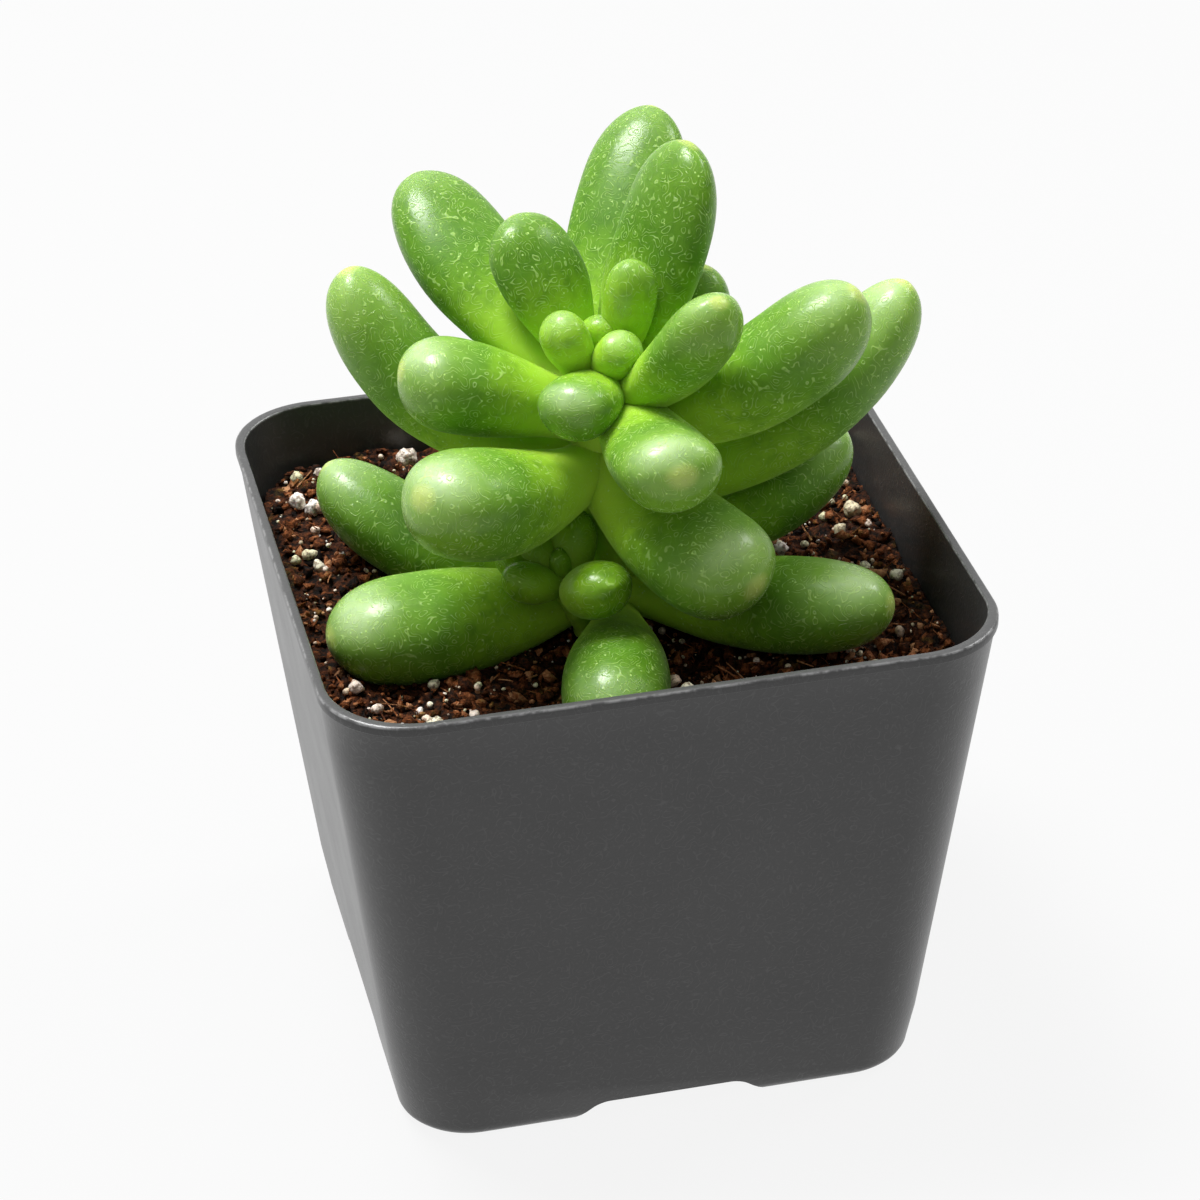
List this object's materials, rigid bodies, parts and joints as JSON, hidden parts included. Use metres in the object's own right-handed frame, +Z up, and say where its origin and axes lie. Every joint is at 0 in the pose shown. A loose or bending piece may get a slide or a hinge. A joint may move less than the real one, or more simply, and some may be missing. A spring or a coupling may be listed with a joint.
{
  "type": "potted succulent",
  "caption": "Small potted succulent: fat club-shaped leaves in a loose spiral on an upright stem, a small side rosette, gritty soil, and a square tapered pot on corner feet.",
  "frame": {"origin": "middle of the pot's foot, on the surface it stands on", "axes": "+Z up along the stem; the pot's front face is towards -Y, its right face towards +X"},
  "size_m": [0.064, 0.064, 0.0893],
  "materials": {
    "pot_plastic": "charcoal, lightly grained, semi-matt, with a thin bright rim edge",
    "soil_mix": "rough damp peat and coir with white grains of perlite",
    "stem_skin": "smooth, pale yellow-green, slightly see-through",
    "offset_skin": "smooth, dark fresh green, soft gloss",
    "leaf_skin": "smooth fleshy green with a soft gloss, a pale bloom towards the tip and fine light dots"
  },
  "bodies": {
    "root": {"leaf_back_inner": "leaf_skin", "leaf_back_middle": "leaf_skin", "leaf_back_right": "leaf_skin", "leaf_back_tall": "leaf_skin", "leaf_front_left": "leaf_skin", "leaf_front_right": "leaf_skin", "leaf_front_upper": "leaf_skin", "leaf_ground_back": "leaf_skin", "leaf_ground_back_right": "leaf_skin", "leaf_ground_front": "leaf_skin", "leaf_ground_left": "leaf_skin", "leaf_ground_left_back": "leaf_skin", "leaf_ground_right": "leaf_skin", "leaf_left_back": "leaf_skin", "leaf_left_far": "leaf_skin", "leaf_left_inner": "leaf_skin", "leaf_left_upper": "leaf_skin", "leaf_right": "leaf_skin", "leaf_right_far": "leaf_skin", "leaf_right_inner": "leaf_skin", "leaf_right_low": "leaf_skin", "offset_rosette": "offset_skin", "pot": "pot_plastic", "soil": "soil_mix", "stem_with_heart": "stem_skin"}
  },
  "joints": []
}
